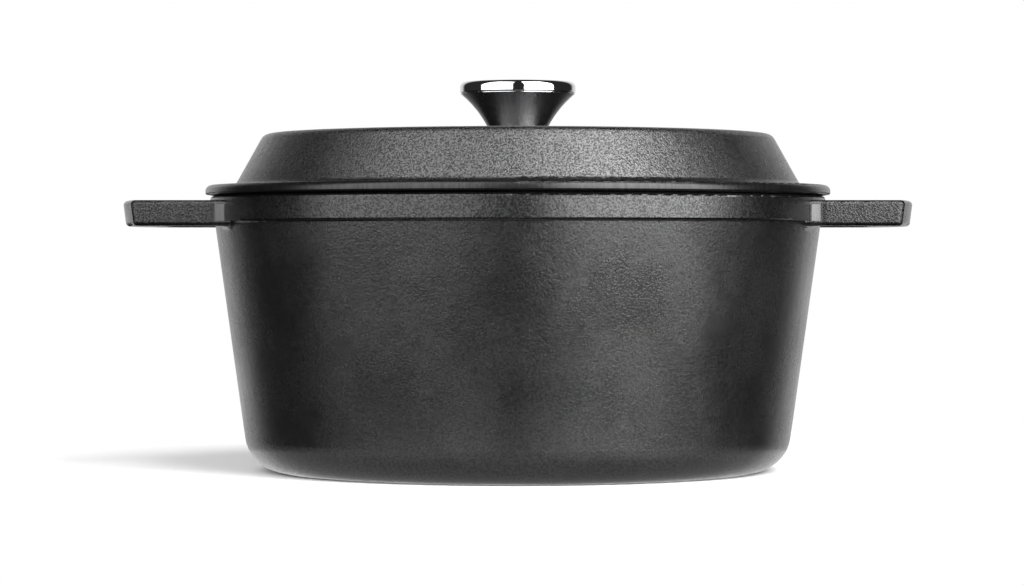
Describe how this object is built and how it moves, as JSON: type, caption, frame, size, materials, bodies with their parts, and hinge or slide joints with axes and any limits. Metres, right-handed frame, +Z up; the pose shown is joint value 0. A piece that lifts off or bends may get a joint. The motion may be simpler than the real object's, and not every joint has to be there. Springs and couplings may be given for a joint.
{
  "type": "dutch oven",
  "caption": "Round cast iron dutch oven with loop handles at its rim and a raised lid that carries a flared steel knob.",
  "frame": {"origin": "centre of the flat base, on the surface the pot stands on", "axes": "+Z up, X through the two loop handles, Y across the pot"},
  "size_m": [0.3508, 0.2788, 0.1737],
  "materials": {
    "pot_iron": "dark matte coat over fine casting grain",
    "lid_iron": "dark satin coat over a pebbled casting grain",
    "knob_satin_steel": "dark satin, turned",
    "knob_polished_steel": "mirror polish",
    "fastener_steel": "plain stainless"
  },
  "bodies": {
    "pot": {"pot_casting": "pot_iron"},
    "lid": {"lid_casting": "lid_iron", "knob_body": "knob_satin_steel", "knob_cap": "knob_polished_steel", "knob_bush": "fastener_steel", "knob_screw": "fastener_steel", "flat_washer": "fastener_steel", "spring_washer": "fastener_steel"}
  },
  "joints": [
    {"name": "lid_lift", "type": "slide", "parent": "pot", "child": "lid", "axis": [0, 0, 1], "range_m": [0, 0.16]}
  ]
}
